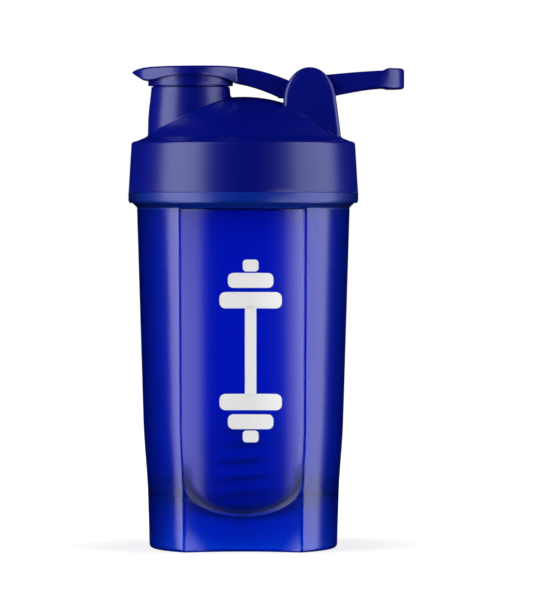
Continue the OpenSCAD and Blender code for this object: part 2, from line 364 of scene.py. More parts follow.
def lid_plastic():
    """Opaque blue polypropylene, satin from a fine spark-eroded mould."""
    f = Finish("lid_plastic")
    flow = f.grain(26, 2.0)
    spark = f.grain(0.35, 2.0)
    tone = f.mix(flow, (0.000, 0.003, 0.180, 1), (0.0003, 0.004, 0.212, 1))
    return f.plastic(base_color=tone, roughness=0.27 + 0.05 * flow + 0.03 * spark, ior=1.49,
                     specular_tint=(0.80, 0.82, 1.0, 1),
                     normal=f.relief(spark, 0.012, 0.5))


def bottle_plastic(name, roughness, clear=0.92, depth=1.0):
    """Blue tinted copolymer, clear enough to show what is behind it as a blur. Seen at a slant, the
    light's longer way through the wall darkens it. Along the U, where the vessel's rounded bottom meets
    the grip panels, a dark band of painted shade darkens it too."""
    f = Finish(name)
    flow = f.grain(30, 2.0, (1, 1, 0.35))
    haze = f.grain(0.6, 2.0)
    x, z = [f.add("ShaderNodeSeparateXYZ", inputs={0: f.place()}, output=axis) * (1 / MM)
            for axis in "XZ"]
    across = x * (1 / U_HALF)
    down = ((U_TOP_Z - z) * (1 / U_DROP)).at_least(0.0)
    reach = (across * across + down * down).root()
    # painted shade: a soft dark band just inside the U, where the panel recess meets the rounded bottom
    u_painted_shade = (reach.between(0.80, 0.99) - reach.between(1.0, 1.07)) * (1 - z.between(27, 40))
    slant = f.add("ShaderNodeLayerWeight", inputs={"Blend": 0.5}, output="Facing").between(0.2, 0.8)
    tint = f.mix(flow, (0.000, 0.060 * depth, 0.77 * depth, 1),
                 (0.0003, 0.075 * depth, 0.83 * depth, 1))
    tone = f.mix(slant, tint, (0.000, 0.015 * depth, 0.28 * depth, 1))
    # the U's painted shade darkens the colour here
    tone = f.mix(u_painted_shade * 0.75, tone, (0.000, 0.008, 0.22, 1))
    return f.plastic(base_color=tone, roughness=roughness + 0.04 * flow + 0.02 * haze + 0.3 * u_painted_shade,
                     ior=1.49, specular_ior_level=0.42, transmission_weight=clear,
                     normal=f.relief(haze, 0.01, 0.35))


def white_ink():
    """Screen printed ink, a little uneven where the mesh laid it down."""
    f = Finish("white_ink")
    weave = f.grain(0.5, 1.0)
    cloud = f.grain(9, 2.0)
    tone = f.mix(cloud, (0.95, 0.96, 0.97, 1), (0.99, 0.99, 0.98, 1))
    return f.plastic(base_color=tone, roughness=0.42 + 0.08 * weave, normal=f.relief(weave, 0.008, 0.5))


def silicone():
    """Pale grey food silicone with a dusty bloom."""
    f = Finish("silicone")
    bloom = f.grain(4, 4.0)
    fine = f.grain(0.3, 2.0)
    tone = f.mix(bloom, (0.50, 0.52, 0.55, 1), (0.60, 0.62, 0.64, 1))
    return f.plastic(base_color=tone, roughness=0.55 + 0.15 * bloom, normal=f.relief(fine, 0.01, 0.5))


def drawn_steel():
    """Pin steel with fine lines along its length."""
    f = Finish("drawn_steel")
    lines = f.grain(1.2, 3.0, (6, 0.15, 6))
    tone = f.mix(lines, (0.42, 0.43, 0.45, 1), (0.66, 0.67, 0.68, 1))
    return f.plastic(base_color=tone, metallic=1.0, roughness=0.22 + 0.18 * lines,
                     normal=f.relief(lines, 0.01, 0.5))


def wire_steel():
    """Electropolished stainless wire."""
    f = Finish("wire_steel")
    wear = f.grain(3, 4.0)
    tone = f.mix(wear, (0.56, 0.57, 0.58, 1), (0.72, 0.72, 0.71, 1))
    return f.plastic(base_color=tone, metallic=1.0, roughness=0.36 + 0.14 * wear,
                     normal=f.relief(wear, 0.006, 0.4))


# ---------------------------------------------------------------- bottle

def body_r(z):
    """Outer radius of the round wall at height z."""
    return FOOT_R + WALL_DRAFT * z + WAIST_STEP * ease(z, WAIST_LOW, WAIST_HIGH)


def panel_gap(angle, z, inset=0.0):
    """Distance from the axis to the concave panel, at an angle from the panel's middle."""
    r = PANEL_R + inset
    middle = PANEL_FOOT_Y + (PANEL_TOP_Y - PANEL_FOOT_Y) * z / PANEL_TOP_Z - inset + r
    under_root = r * r - (middle * np.sin(angle)) ** 2
    return np.where(under_root > 0, middle * np.cos(angle) - np.sqrt(np.maximum(under_root, 0)), 1e3)


def crease_angle(z):
    """Angle from the panel's middle at which the panel meets the round wall."""
    r = body_r(z)
    middle = PANEL_FOOT_Y + (PANEL_TOP_Y - PANEL_FOOT_Y) * z / PANEL_TOP_Z + PANEL_R
    return np.arccos((r * r + middle * middle - PANEL_R ** 2) / (2 * middle * r))


def under_bowl(x, z):
    """How far a point of the panel lies outside the U in which the vessel's rounded bottom meets
    it: a half ellipse at the foot, straight up from there."""
    drop = np.maximum(U_TOP_Z - z, 0) / U_DROP
    reach = np.hypot(x / U_HALF, drop)
    return (reach - 1) * np.hypot(x, U_TOP_Z - z) / np.maximum(reach, 0.2)


def outer_gap(angle, z):
    """Outer wall at an angle from the nearer panel's middle: round wall, or panel, or the flatter
    foot panel under the U."""
    gap = panel_gap(angle, z)
    x = gap * np.sin(angle)
    under = ease(under_bowl(x, z), -0.35, 0.35) * (1 - ease(z, 25, U_TOP_Z))
    swell = 1.6 * np.clip(1 - (x / PANEL_FOOT_HALF) ** 4, 0, 1) * ease(z, -2.0, 13.0)
    gap = gap + under * swell
    return soft_min(body_r(z) + 0 * gap, gap, 1.0)


def inner_gap(angle, z, thick=WALL):
    return soft_min(body_r(z) - thick + 0 * angle, panel_gap(angle, z, thick), 1.2)


PANEL_FOOT_HALF = float(body_r(0) * math.sin(crease_angle(0)))
CREASE = float(crease_angle(60.0))                     # at the middle of the bottle's height


def wall_angles():
    """Angles round the bottle, close together at the four creases, and each one's angle from the
    nearer panel's middle. The panels face -Y and +Y."""
    near = np.radians(2.4)
    quarter = np.concatenate([
        np.linspace(0, CREASE - near, 36, endpoint=False),
        np.linspace(CREASE - near, CREASE + near, 12, endpoint=False),
        np.linspace(CREASE + near, math.pi / 2, 18, endpoint=False)])
    half = np.concatenate([quarter, math.pi - np.concatenate([[math.pi / 2], quarter[:0:-1]])])
    turn = np.concatenate([half, half + math.pi])
    from_panel = np.abs((turn + math.pi / 2) % math.pi - math.pi / 2)
    return turn - math.pi / 2, from_panel


def thread_swell(turn, z, start_z, start_turn=0.0):
    """How far a screw thread stands out at an angle in radians and a height."""
    along = (np.degrees(turn) - start_turn) % 360 / 360
    best = np.zeros(np.broadcast(turn, z).shape)
    for lap in range(3):
        turns = along + lap
        mid = start_z + THREAD_PITCH * turns
        ramp = 1 - ease(np.abs(z - mid), THREAD_CREST, THREAD_FOOT)
        fade = ease(turns, 0.0, THREAD_FADE) * (1 - ease(turns, THREAD_TURNS - THREAD_FADE, THREAD_TURNS))
        best = np.maximum(best, THREAD_DEPTH * ramp * fade)
    return best


def bowl_height(r, lift=0.0):
    """Height of the vessel's rounded bottom at a radius: its underside, or its floor with a lift."""
    rim = body_r(BOWL_TOP_Z) - lift
    return BOWL_TOP_Z + lift * 0.2 - (BOWL_TOP_Z - BOWL_Z - lift * 0.8) * np.maximum(
        1 - (r / rim) ** BOWL_POWER, 0) ** (1 / BOWL_POWER)


def junction(gap, lift):
    """Radius and height at which the rounded bottom meets a wall, found by settling."""
    z = np.full(gap(0.0).shape, 18.0)
    for _ in range(12):
        r = gap(z)
        z = 0.5 * (z + bowl_height(r, lift))
    return gap(z), z


def shaker_bottle():
    turn, side = wall_angles()
    path = []                                          # rings of (radius, height) arrays

    def ring(r, z):
        path.append((np.broadcast_to(r, side.shape), np.broadcast_to(z, side.shape)))

    # gate nub and the vessel's underside, out to the foot skirt
    for r, z in [(0.02, 5.0), (0.7, 5.0), (0.95, 5.2), (1.0, 5.6), (1.1, 9.0), (1.3, 11.8), (1.9, 12.6)]:
        ring(r, z)
    skirt_r, skirt_z = junction(lambda z: inner_gap(side, z, 2.1), 0.0)
    for f in np.linspace(0.08, 0.95, 32) ** 0.9:
        r = 2.6 + (skirt_r - 2.6) * f
        ring(r, bowl_height(r))
    # down the skirt, round the foot
    for f in np.linspace(0.16, 1, 14):
        z = skirt_z + (0.5 - skirt_z) * f
        ring(inner_gap(side, z, 2.1 + 0.3 * f), z)
    ring(inner_gap(side, 0, 2.15), 0.12)
    ring(inner_gap(side, 0, 1.95), 0.0)
    for r, z in arc(-FOOT_ROUND, FOOT_ROUND, FOOT_ROUND, -88, 0, 7):
        ring(outer_gap(side, FOOT_ROUND) + r, z)
    # up the wall: close together over the U, wider above it
    for z in np.concatenate([np.arange(2.4, 13.5, 1.2), np.arange(14, 31.5, 0.35),
                             np.arange(32, 56, 1.5), np.linspace(57, PANEL_TOP_Z - 1, 26)]):
        ring(outer_gap(side, z), z)
    # ledge over the panels and the flange
    panel_r = outer_gap(side, PANEL_TOP_Z - 0.6)
    ledge_r = float(body_r(SHOULDER_FOOT_Z))
    ring(panel_r, PANEL_TOP_Z - 0.6)
    for f in np.linspace(0.03, 1, 9):
        ring(panel_r + (ledge_r - panel_r) * f, PANEL_TOP_Z - 0.3 + 0.7 * f ** 0.5)
    rise = FLANGE_R - 1.1 - ledge_r
    for f in np.linspace(0.15, 1, 6):
        ring(ledge_r + rise * f, SHOULDER_FOOT_Z + rise * f)
    for r, z in arc(FLANGE_R - 2.3, SHOULDER_FOOT_Z + rise + 0.9, 2.3, -40, -6, 6):
        ring(r, z)
    # fine bead that all but closes the gap under the lid
    bead_z = LID_Z - 0.02
    for r, z in arc(FLANGE_R - 0.2, bead_z - 0.2, 0.2, 0, 90, 3):
        ring(r, z)
    for r, z in [(45.9, bead_z), (45.6, bead_z - 0.1), (45.4, SHOULDER_Z), (43.6, SHOULDER_Z),
                 (NECK_R + 0.6, SHOULDER_Z)]:
        ring(r, z)
    # neck with its screw thread, and the rim
    for z in np.concatenate([[SHOULDER_Z + 0.15, SHOULDER_Z + 0.7], np.arange(146.3, 161.3, 0.4)]):
        ring(NECK_R + thread_swell(turn, z, NECK_THREAD_Z) + 0.35 * (z < SHOULDER_Z + 0.3), z)
    for r, z in arc(NECK_R - 0.8, NECK_TOP_Z - 0.8, 0.8, 0, 90, 5):
        ring(r, z)
    for r, z in arc(NECK_BORE_R + 0.8, NECK_TOP_Z - 0.8, 0.8, 90, 180, 5):
        ring(r, z)
    for z in (158, 154, 150, 146, 143.4, 142.2):
        ring(NECK_BORE_R, z)
    # inner ledge, vessel wall and floor
    top_z = 140.0 + 0.9 * (1 - ease(side, CREASE - 0.1, CREASE + 0.1))
    top_r = inner_gap(side, top_z)
    for f in np.linspace(0.06, 1, 10):
        ring(NECK_BORE_R + (top_r - NECK_BORE_R) * f, 141.9 + (top_z - 141.9) * f)
    floor_r, floor_z = junction(lambda z: inner_gap(side, z), WALL)
    for f in np.linspace(0, 1, 44)[1:]:
        z = top_z + (floor_z - top_z) * f
        ring(inner_gap(side, z), z)
    for f in np.linspace(1, 0.02, 26)[1:]:
        r = floor_r * f
        ring(r, bowl_height(r, WALL))
    rings = [np.stack([r * np.cos(turn), r * np.sin(turn), z], 1) for r, z in path]
    piece = skin("shaker_bottle", rings, sharp_over=40)
    # the mould's core is matt, so what looks inwards gets the second finish, and the thick flange
    # and neck the third
    for face in piece.data.polygons:
        x, y, z = face.center / MM
        side = abs(math.atan2(y, x) % math.pi - math.pi / 2)
        r = math.hypot(x, y)
        if z > PANEL_TOP_Z - 0.2:
            face.material_index = 2 if r > NECK_R - 1 else 1
        else:
            face.material_index = int(r < float(outer_gap(np.array(side), np.array(z))) - 0.6)
    return piece


def on_panel(x, z, proud):
    """Point over the front grip panel's surface, at x from its middle."""
    middle = PANEL_FOOT_Y + (PANEL_TOP_Y - PANEL_FOOT_Y) * z / PANEL_TOP_Z + PANEL_R
    y = np.sqrt(PANEL_R ** 2 - x ** 2) - middle - proud
    return np.stack([x + 0 * z, y, z + 0 * x], -1)


def printed_bar(name, middle, width, length, corner):
    """One rounded bar of ink, laid on the front panel. Length is along Z."""
    rows = np.concatenate([
        -length / 2 + corner * (1 - np.cos(np.linspace(0, math.pi / 2, 7))),
        np.linspace(-length / 2 + corner, length / 2 - corner, max(3, int(length / 3)))[1:-1],
        length / 2 - corner * (1 - np.cos(np.linspace(math.pi / 2, 0, 7)))])
    over = np.maximum(np.abs(rows) - (length / 2 - corner), 0)
    half = width / 2 - corner + np.sqrt(np.maximum(corner ** 2 - over ** 2, 0)) + 0.01
    across = np.linspace(-1, 1, max(5, int(width / 1.2)))
    x = middle[0] + half[:, None] * across[None, :]
    z = middle[1] + rows[:, None] + 0 * x
    face, back = on_panel(x, z, 0.07), on_panel(x, z, -0.25)
    rings = np.concatenate([face, back[:, ::-1]], 1)
    return skin(name, rings, sharp_over=50)


def training_mark():
    """The print on the front panel: a dumbbell standing on end."""
    mid_x, low_z, high_z = 3.1, 44.0, 119.0
    mid_z = (low_z + high_z) / 2
    bars = [((mid_x, mid_z), 4.6, 46.0, 1.6)]
    for sign in (-1, 1):
        bars += [((mid_x, mid_z + sign * 20.6), 25.2, 6.6, 2.4),
                 ((mid_x, mid_z + sign * 28.6), 18.4, 6.0, 2.2),
                 ((mid_x, mid_z + sign * 34.6), 6.4, 4.8, 1.5)]
    return merged("training_mark", *[printed_bar(f"bar_{i}", *bar) for i, bar in enumerate(bars)])


# ---------------------------------------------------------------- lid

def dome_height(r):
    """Outer height of the lid's top at a radius: dome, then the shoulder round it."""
    dome = DOME_MID_Z + np.sqrt(np.maximum(DOME_R ** 2 - r * r, 1))
    shoulder = 167.1 + (42.6 - np.maximum(r, 36)) * 0.43
    return soft_max(dome, shoulder, 0.5)


def spout_wall(z):
    """Outer radius of the spout at a height."""
    return through([(160, 17.55), (171.2, 17.5), (175.3, 17.4), (179.4, 17.08), (185.1, 16.4),
                    (SKIRT_Z - 0.4, 16.05)], z)


def lid_moulding():
    """Collar, domed top and spout as one closed skin, with the thread inside the collar."""
    sides = 320
    heading = np.linspace(0, 2 * math.pi, sides, endpoint=False)
    ray = np.stack([np.cos(heading), np.sin(heading)], 1)
    centre = np.array([SPOUT_X, 0.0])

    def to_circle(r):
        """Distance from the spout's axis to a circle round the bottle's axis, along each ray."""
        along = ray @ centre
        return -along + np.sqrt(along ** 2 - centre @ centre + r * r)

    shoulder_r = 43.4
    edge = centre + ray * to_circle(shoulder_r)[:, None]
    turn = np.arctan2(edge[:, 1], edge[:, 0])
    rings = []

    def round_axis(r, z):
        r, z = np.broadcast_to(r, turn.shape), np.broadcast_to(z, turn.shape)
        rings.append(np.stack([r * np.cos(turn), r * np.sin(turn), z], 1))

    def round_spout(t, z):
        plan = centre + ray * np.broadcast_to(t, turn.shape)[:, None]
        rings.append(np.column_stack([plan, np.broadcast_to(z, turn.shape)]))

    # collar, from its lower edge up and over the corner
    for r, z in [(COLLAR_BORE_R + 0.4, LID_Z), (45.6, LID_Z), (COLLAR_R - EDGE_R, LID_Z)]:
        round_axis(r, z)
    edge_z = LID_Z + EDGE_R
    for r, z in arc(COLLAR_R - EDGE_R, edge_z, EDGE_R, -70, 0, 3):
        round_axis(r, z)
    for f in np.linspace(0, 1, 12)[1:]:
        round_axis(COLLAR_R + (COLLAR_TOP_R - COLLAR_R) * f, edge_z + (CORNER_Z - 0.2 - edge_z) * f)
    for r, z in arc(COLLAR_TOP_R - CORNER_R, CORNER_Z, CORNER_R, 5, 66, 8):
        round_axis(r, z)
    # top of the lid, in to the foot of the spout
    round_axis(shoulder_r, dome_height(shoulder_r))
    fillet = 0.9
    foot = np.full(sides, 17.0)
    for _ in range(6):
        foot = spout_wall(dome_height(np.linalg.norm(centre + ray * foot[:, None], axis=1)) + fillet)
    near, far = [np.linalg.norm(centre + ray * t[:, None], axis=1) for t in (foot, foot + 0.5)]
    slope = (dome_height(far) - dome_height(near)) / 0.5
    steep = np.sqrt(1 + slope ** 2)
    bend_z = dome_height(near) + slope * fillet + fillet * steep
    lean = np.arctan(slope)
    end_t = foot + fillet + fillet * slope / steep
    end_z = bend_z - fillet / steep
    outer_t = to_circle(shoulder_r)
    slack = end_z - dome_height(np.linalg.norm(centre + ray * end_t[:, None], axis=1))
    for f in np.linspace(0, 1, 44)[1:-1]:
        t = outer_t + (end_t - outer_t) * f
        r = np.linalg.norm(centre + ray * t[:, None], axis=1)
        round_spout(t, dome_height(r) + slack * f ** 4)
    for f in np.linspace(0, 1, 9):
        angle = 1.5 * math.pi + lean + (math.pi - 1.5 * math.pi - lean) * f
        round_spout(foot + fillet + fillet * np.cos(angle), bend_z + fillet * np.sin(angle))
    # spout, lip and throat
    stop = SKIRT_Z - 0.4
    for f in np.linspace(0, 1, 14)[1:]:
        z = bend_z + (stop - 0.35 - bend_z) * f
        round_spout(spout_wall(z) + (foot - spout_wall(bend_z)) * (1 - f), z)
    for t, z in [*arc(15.75, stop - 0.3, 0.3, 10, 90, 3), (LIP_R + 0.15, stop), (LIP_R, stop + 0.15)]:
        round_spout(t, z)
    for z in (190.5, 192.0):
        round_spout(LIP_R, z)
    for t, z in [*arc(LIP_R - 0.9, LIP_Z - 0.9, 0.9, 0, 90, 6),
                 *arc(THROAT_R + 0.8, LIP_Z - 0.8, 0.8, 90, 180, 6)]:
        round_spout(t, z)
    under_r = DOME_R - LID_WALL

    def under_height(plan):
        return DOME_MID_Z + np.sqrt(under_r ** 2 - np.sum(plan ** 2, 1))

    throat = centre + ray * THROAT_R
    throat_z = under_height(throat)
    for f in np.linspace(0, 1, 12)[1:]:
        round_spout(THROAT_R, LIP_Z - 2 + (throat_z - LIP_Z + 2) * f)
    # underside of the dome, sealing land, seat and threaded bore
    land_in = LAND_R - LID_WALL
    rim = np.stack([land_in * np.cos(turn), land_in * np.sin(turn)], 1)
    for f in np.linspace(0, 1, 30)[1:]:
        plan = throat + (rim - throat) * f
        rings.append(np.column_stack([plan, under_height(plan)]))
    for r, z in [(land_in, 166), (land_in, 162), (land_in, LAND_Z + 0.6),
                 *arc(land_in + 0.6, LAND_Z + 0.6, 0.6, 180, 270, 3),
                 *arc(LAND_R - 0.7, LAND_Z + 0.7, 0.7, -90, 0, 4), (LAND_R, 162), (LAND_R, SEAT_Z - 0.2),
                 (LAND_R + 0.2, SEAT_Z), (42.0, SEAT_Z), (COLLAR_BORE_R - 0.3, SEAT_Z),
                 (COLLAR_BORE_R, SEAT_Z - 0.3)]:
        round_axis(r, z)
    for z in np.concatenate([[163.5], np.arange(161.8, 146.4, -0.4), [146.1]]):
        round_axis(COLLAR_BORE_R - thread_swell(turn, z, LID_THREAD_Z, LID_THREAD_TURN), z)
    return skin("lid_moulding", rings, closed_path=True, sharp_over=38)


def hinge_ear(side):
    """One hinge ear: a leaf with a rounded edge that leans in towards its top."""
    half_a, half_b, mid_z = 10.7, 13.9, 182.7
    top = np.radians(np.linspace(12, 188, 56))
    outline = np.concatenate([
        [[39.95, 164.0], [39.85, 166.5]],
        [[39.7 - 0.123 * (z - 169.1), z] for z in np.arange(167.3, 177.5, 0.7)],
        [[38.5, 179.0], [38.27, 180.7], [38.02, 182.4], [37.78, 184.1]],
        np.stack([HINGE_X + half_a * np.cos(top), mid_z + half_b * np.sin(top)], 1),
        [[HINGE_X - half_a - 0.1, z] for z in np.arange(179.6, 170, -0.8)],
        [[HINGE_X - half_a - 0.1, 164.0]]])
    along = np.roll(outline, -1, 0) - np.roll(outline, 1, 0)
    along /= np.linalg.norm(along, axis=1)[:, None]
    inward = np.stack([-along[:, 1], along[:, 0]], 1)
    round_out, round_in = 1.9, 0.4
    centre = np.array([HINGE_X + 0.4, 178.0])
    inner_y = EAR_GAP / 2

    def outer_y(points):
        return 13.5 + (196.6 - points[:, 1]) * math.tan(math.radians(6))

    rings = []

    def ring(points, y):
        rings.append(np.column_stack([points[:, 0], side * y, points[:, 1]]))

    for f in (0.02, 0.35, 0.7, 0.9):
        ring(centre + (outline + inward * round_in - centre) * f, np.full(len(outline), inner_y))
    for a in np.radians(np.linspace(0, 90, 5)):
        ring(outline + inward * round_in * (1 - math.sin(a)),
             np.full(len(outline), inner_y + round_in * (1 - math.cos(a))))
    depth = outer_y(outline) - inner_y
    round_y = np.minimum(round_out, depth - round_in - 0.15)
    for a in np.radians(np.linspace(0, 90, 9)):
        ring(outline + inward * round_out * (1 - math.cos(a)),
             outer_y(outline) - round_y * (1 - math.sin(a)))
    flat = outline + inward * round_out
    for f in np.concatenate([[0.985], np.linspace(0.93, 0.05, 14)]):
        points = centre + (flat - centre) * f
        ring(points, outer_y(points))
    rings = np.array(rings)
    # flare at the foot, where the ear's edge and outer side run into the lid
    reach = 1.6
    r = np.linalg.norm(rings[..., :2], axis=2)
    above = rings[..., 2] - dome_height(r)
    out = 1 - np.clip(above / reach, 0, 1)
    push = reach * (1 - np.sqrt(np.maximum(1 - out ** 2, 0)))
    sideways = np.zeros_like(rings)
    edge_rings, side_rings = slice(9, 18), slice(13, None)
    sideways[edge_rings, :, 0] = -inward[None, :, 0]
    sideways[side_rings, :, 1] += side * 0.7
    rings += sideways * push[..., None] * 0.8
    return skin("hinge_ear", rings, sharp_over=34)


def hinge_bore(name, r, half_width):
    t = np.linspace(0, 2 * math.pi, 64, endpoint=False)
    rings = [np.stack([HINGE_X + r * np.cos(t), np.full(64, y), HINGE_Z + r * np.sin(t)], 1)
             for y in (-half_width, half_width)]
    return skin(name, rings)


def screw_lid():
    ears = [cut(hinge_ear(side), hinge_bore("socket", PIN_R + 0.02, PIN_HALF + 0.1))
            for side in (-1, 1)]
    for ear in ears:
        smooth(ear.data, 34)
    return merged("screw_lid", lid_moulding(), *ears)


def seal_ring():
    """Silicone ring with two lips against the rim and a groove against the seat."""
    low, high = seal_low[2], seal_high[2]
    inner, outer = LAND_R + 0.02, float(seal_high[0])
    lips = [(inner, low + 0.5), (inner + 0.3, low + 0.15)]
    for mid in (inner + 1.1, outer - 1.2):
        lips += [tuple(p) for p in arc(mid, low + 0.45, 0.45, 200, 340, 6)]
        lips.append((mid + 0.75, low + 0.55))
    lips += [(outer - 0.15, low + 0.2), (outer, low + 0.5), (outer, high - 0.4), (outer - 0.3, high),
             (inner + 2.6, high), (inner + 2.3, high - 0.45), (inner + 1.7, high - 0.45), (inner + 1.4, high),
             (inner + 0.3, high), (inner, high - 0.4)]
    return turned("seal_ring", lips, sides=224)


# ---------------------------------------------------------------- flip cap

def crest(x):
    """Height of the cap's and the lever's top at x."""
    plate = through([(CAP_TIP_X, 194.8), (-44, CAP_TOP_Z - 1.65), (-41.6, CAP_TOP_Z - 0.95),
                     (-38.8, CAP_TOP_Z - 0.5), (-34, CAP_TOP_Z - 0.25), (-24, CAP_TOP_Z - 0.08),
                     (-9.3, CAP_TOP_Z), (0, CAP_TOP_Z)], x)
    lever_start, lever_bend = -9.3, 66
    lever = CAP_TOP_Z - np.maximum(x - lever_start, 0) ** 2 / (2 * lever_bend)
    barrel = HINGE_Z + np.sqrt(np.maximum(BARREL_R ** 2 - (x - HINGE_X) ** 2, 0))
    falling = np.where(x > lever_start, lever, plate)
    joined = np.where(x > HINGE_X - BARREL_R, np.maximum(falling, barrel), falling)
    return np.where(x > HINGE_X, barrel, joined)


def keel(x):
    """Height of the cap's and the lever's lower edge at x."""
    plate = through([(CAP_TIP_X, 194.45), (-43.5, 193.1), (-41.2, 191.75), (-38.5, 191.45), (-31, 192.8),
                     (-21.6, 193.3), (-12, 192.8), (-5.5, 191.45), (-3.4, 190.45), (-2.0, 190.1)], x)
    lever = 190.95 - (x + 11.8) ** 2 / (2 * 54)
    barrel = HINGE_Z - np.sqrt(np.maximum(BARREL_R ** 2 - (x - HINGE_X) ** 2, 0))
    run = 184.3 - (x - 15) * 0.09
    low = np.where(x < -2.0, plate, np.where(x < 14, lever, np.minimum(184.26, run)))
    return np.where(x > HINGE_X - 1, barrel, low)


def cap_half(x):
    """Half of the cap's width at x: thumb tip, plate, then the lever."""
    tip = np.sqrt(np.maximum(14 ** 2 - (x - CAP_TIP_X - 14) ** 2, 0.0)) * (x < -30)
    plate = np.sqrt(np.maximum(CAP_R ** 2 - (x - SPOUT_X) ** 2, 0.0))
    lever = LEVER_HALF * ease(x, -16, -8)
    return soft_max(soft_max(tip, plate, 2.5), lever, 6.0)


def cap_section(x):
    """Rounded outline across the cap at x, as (y, z) points."""
    half, high, low = max(cap_half(x), 0.05), float(crest(x)), float(keel(x))
    tall = max(high - low, 0.02)
    top_r = min(1.5, tall * 0.45, half * 0.45)
    low_r = min(0.5, tall * 0.25, half * 0.25)
    crown = 0.12 * min(1.0, half / 10)
    flat = np.linspace(half - top_r, -(half - top_r), 17)[1:-1]
    top = np.stack([flat, high - crown * (flat / half) ** 2], 1)
    under = np.linspace(-(half - low_r), half - low_r, 9)[1:-1]
    return np.concatenate([
        arc(half - top_r, high - crown - top_r, top_r, 0, 90, 6), top,
        arc(-(half - top_r), high - crown - top_r, top_r, 90, 180, 6),
        arc(-(half - low_r), low + low_r, low_r, 180, 270, 3),
        np.stack([under, np.full(len(under), low)], 1),
        arc(half - low_r, low + low_r, low_r, -90, 0, 3)])


def spout_cap():
    start, end = CAP_TIP_X, HINGE_X + BARREL_R
    lead = start + 5 * (1 - np.cos(np.linspace(0.06, math.pi / 2, 16)))
    body = np.arange(start + 5.3, end - BARREL_R - 0.4, 0.42)
    tail = end - BARREL_R + BARREL_R * np.sin(np.linspace(0, math.pi / 2 - 0.03, 16))
    rings = []
    for x in np.concatenate([lead, body, tail]):
        section = cap_section(x)
        rings.append(np.column_stack([np.full(len(section), x), section]))
    plate = skin("cap_plate", rings, sharp_over=42)
    ceiling = CAP_TOP_Z - 2.3
    bore_r = SKIRT_R - 1.6
    cavity = turned("cavity", [(0.01, 170), (bore_r + 0.05, 170), (bore_r + 0.05, ceiling),
                               (0.01, ceiling)], (SPOUT_X, 0), sides=160)
    tidy_up(cavity.data, 1e-4)
    channel_x = np.linspace(-1.6, 19, 22)
    roof = crest(channel_x) - 2.4
    half = LEVER_HALF - 2.0
    channel = skin("channel", [np.array([[x, half, z], [x, -half, z], [x, -half, 176], [x, half, 176]])
                               for x, z in zip(channel_x, roof)])
    cut(plate, cavity, channel, hinge_bore("bore", PIN_R + 0.05, 12))
    smooth(plate.data, 42)
    skirt = turned("cap_skirt", [
        (bore_r, SKIRT_Z + 0.3), *arc(bore_r + 0.3, SKIRT_Z + 0.3, 0.3, 200, 270, 3),
        *arc(SKIRT_R - 0.35, SKIRT_Z + 0.35, 0.35, -90, 0, 4), (SKIRT_R, SKIRT_Z + 2),
        (SKIRT_R - 0.05, CAP_TOP_Z - 2.0), (bore_r, CAP_TOP_Z - 2.0)], (SPOUT_X, 0), sides=200)
    return merged("spout_cap", plate, skirt)


def cap_plug():
    """Soft plug with two sealing ribs round its tapered lip."""
    low, high = plug_low[2], plug_high[2]
    disc_r = float(plug_high[1])
    disc_z = LIP_Z + 0.25
    tip = THROAT_R - 0.75
    return turned("cap_plug", [
        (0.3, high), (disc_r - 0.2, high), (disc_r, high - 0.15), (disc_r, disc_z + 0.1),
        (disc_r - 0.1, disc_z), (THROAT_R - 0.35, disc_z), (THROAT_R - 0.42, 193.2),
        (THROAT_R - 0.3, 192.8), (THROAT_R - 0.42, 192.4), (THROAT_R - 0.6, 191.4),
        (THROAT_R - 0.48, 191.0), (THROAT_R - 0.6, 190.6), (tip, low + 0.4),
        (tip - 0.3, low), (tip - 1.3, low), (tip - 1.6, low + 0.3), (THROAT_R - 2.1, disc_z - 1.7),
        (THROAT_R - 2.6, disc_z - 1.2), (6, disc_z - 1.2), (5.6, disc_z - 0.9), (0.3, disc_z - 0.9)],
        (SPOUT_X, 0), sides=128)


def hinge_rod():
    """Pin with chamfered ends."""
    half = [(0.02, PIN_HALF), (PIN_R - 0.4, PIN_HALF), (PIN_R - 0.1, PIN_HALF - 0.15),
            (PIN_R, PIN_HALF - 0.45)]
    profile = [(r, -y) for r, y in half] + half[::-1]
    t = np.linspace(0, 2 * math.pi, 48, endpoint=False)
    rings = [np.stack([HINGE_X + r * np.cos(t), np.full(48, y), HINGE_Z + r * np.sin(t)], 1)
             for r, y in profile]
    return skin("hinge_rod", rings, sharp_over=40)


# ---------------------------------------------------------------- carry loop

def loop_edges(x):
    """Lower and upper height of the carry loop at x: eye, arm, and the thicker grip bar."""
    eye = np.sqrt(np.maximum(EYE_R ** 2 - (x - HINGE_X) ** 2, 0))
    arm_end = 57.3
    grip_x = [arm_end, 58.5, 59.6, LOOP_END_X]
    arm_low = through([(HINGE_X, HINGE_Z - EYE_R), (39.6, 185.7), (56, 188.2), (59, 188.3)], x)
    arm_high = through([(HINGE_X, HINGE_Z + EYE_R), (33, 193.4), (39.6, 194.1), (56, 195.25),
                        (59, 195.4)], x)
    low = np.where(x < arm_end, arm_low, np.interp(x, grip_x, [188.26, 187.88, 187.8, 187.8]))
    high = np.where(x < arm_end, arm_high, np.interp(x, grip_x, [195.33, 196.18, 196.3, 196.3]))
    behind = x < HINGE_X
    return np.where(behind, HINGE_Z - eye, low), np.where(behind, HINGE_Z + eye, high)


